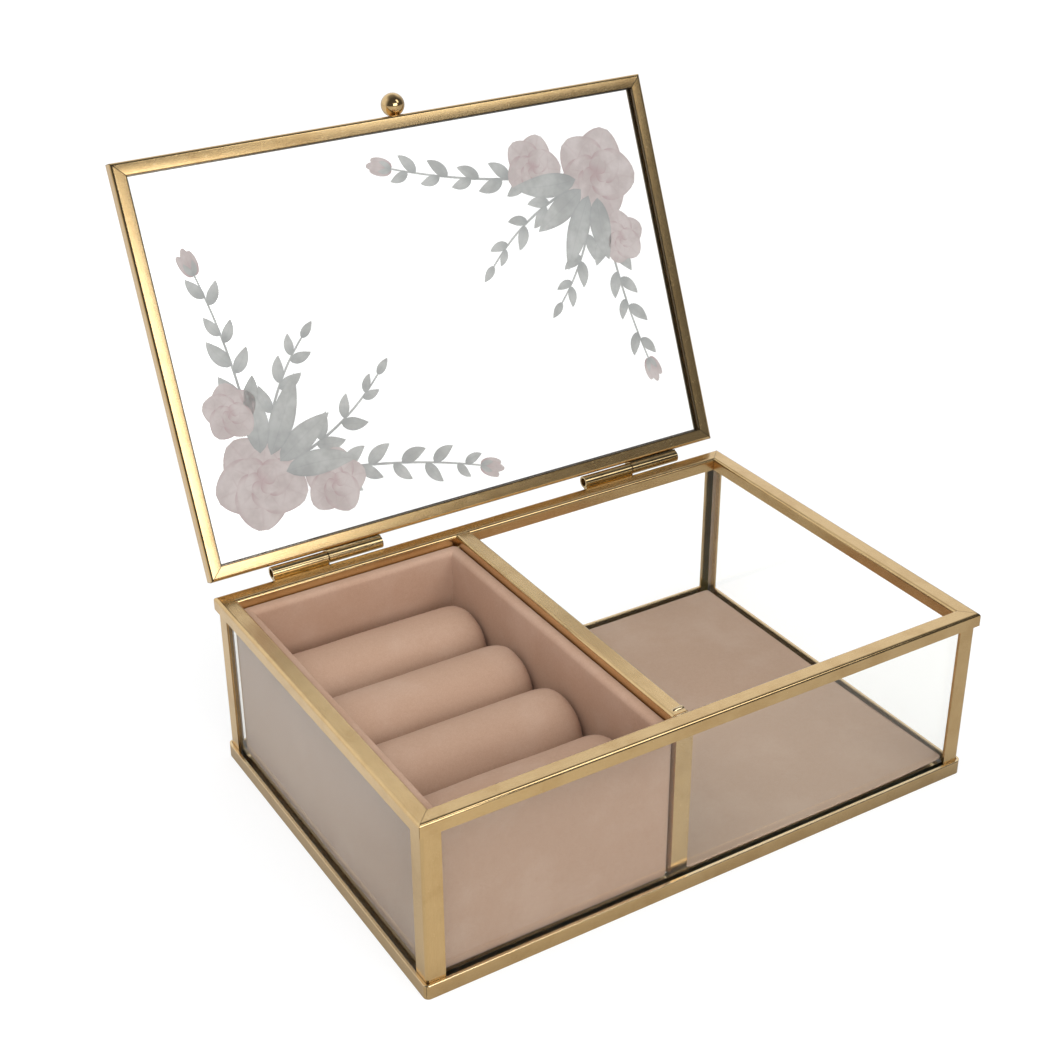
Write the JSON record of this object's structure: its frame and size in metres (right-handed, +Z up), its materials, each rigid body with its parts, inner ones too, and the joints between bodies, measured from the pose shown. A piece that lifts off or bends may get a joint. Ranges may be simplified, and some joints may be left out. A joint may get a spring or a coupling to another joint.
{
  "type": "glass casket box",
  "caption": "Brass-edged glass box with a hinged glass lid, a lift-out velvet ring tray on one side and an open velvet-lined compartment on the other.",
  "frame": {"origin": "on the surface that the box stands on, in the middle of the front base flange, 4 mm behind the front face", "axes": "+X to the right along the front, +Y from the front to the hinges, +Z up; the lid is stored open, as pictured"},
  "size_m": [0.18, 0.1802, 0.1751],
  "materials": {
    "brass_strip": "satin, fine brush marks along the strip",
    "hinge_brass": "polished, drawn tube",
    "knob_brass": "polished ball",
    "wall_glass": "clear float glass",
    "lid_glass": "clear float glass with a soft floral print",
    "tray_velvet": "short-pile velvet, dusty pink beige",
    "roll_velvet": "short-pile velvet over foam, dusty pink beige",
    "pad_velvet": "short-pile velvet over card, dusty pink beige"
  },
  "bodies": {
    "casket": {"base_rim_front": "brass_strip", "base_rim_right": "brass_strip", "base_rim_rear": "brass_strip", "base_rim_left": "brass_strip", "corner_post_front_left": "brass_strip", "corner_post_front_right": "brass_strip", "corner_post_rear_right": "brass_strip", "corner_post_rear_left": "brass_strip", "top_rim_front": "brass_strip", "top_rim_right": "brass_strip", "top_rim_rear": "brass_strip", "top_rim_left": "brass_strip", "divider_top_channel": "brass_strip", "divider_front_channel": "brass_strip", "divider_rear_channel": "brass_strip", "left_hinge_case_tube": "hinge_brass", "right_hinge_case_tube": "hinge_brass", "left_hinge_pin": "hinge_brass", "right_hinge_pin": "hinge_brass", "base_glass": "wall_glass", "front_glass": "wall_glass", "right_glass": "wall_glass", "rear_glass": "wall_glass", "left_glass": "wall_glass", "divider_glass": "wall_glass", "floor_pad": "pad_velvet"},
    "lid": {"lid_frame_front": "brass_strip", "lid_frame_right": "brass_strip", "lid_frame_rear": "brass_strip", "lid_frame_left": "brass_strip", "lid_glass": "lid_glass", "lid_knob": "knob_brass", "left_hinge_lid_tube": "hinge_brass", "right_hinge_lid_tube": "hinge_brass"},
    "ring_tray": {"tray_front_wall": "tray_velvet", "tray_right_wall": "tray_velvet", "tray_rear_wall": "tray_velvet", "tray_left_wall": "tray_velvet", "tray_floor": "tray_velvet", "ring_roll_1": "roll_velvet", "ring_roll_2": "roll_velvet", "ring_roll_3": "roll_velvet", "ring_roll_4": "roll_velvet"}
  },
  "joints": [
    {"name": "lid_hinge", "type": "hinge", "parent": "casket", "child": "lid", "pos_m": [0.0017, 0.12115, 0.0559], "axis": [-1, 0, 0], "range_deg": [-113, 0]},
    {"name": "tray_lift", "type": "slide", "parent": "casket", "child": "ring_tray", "axis": [0, 0, 1], "range_m": [0, 0.065]}
  ]
}
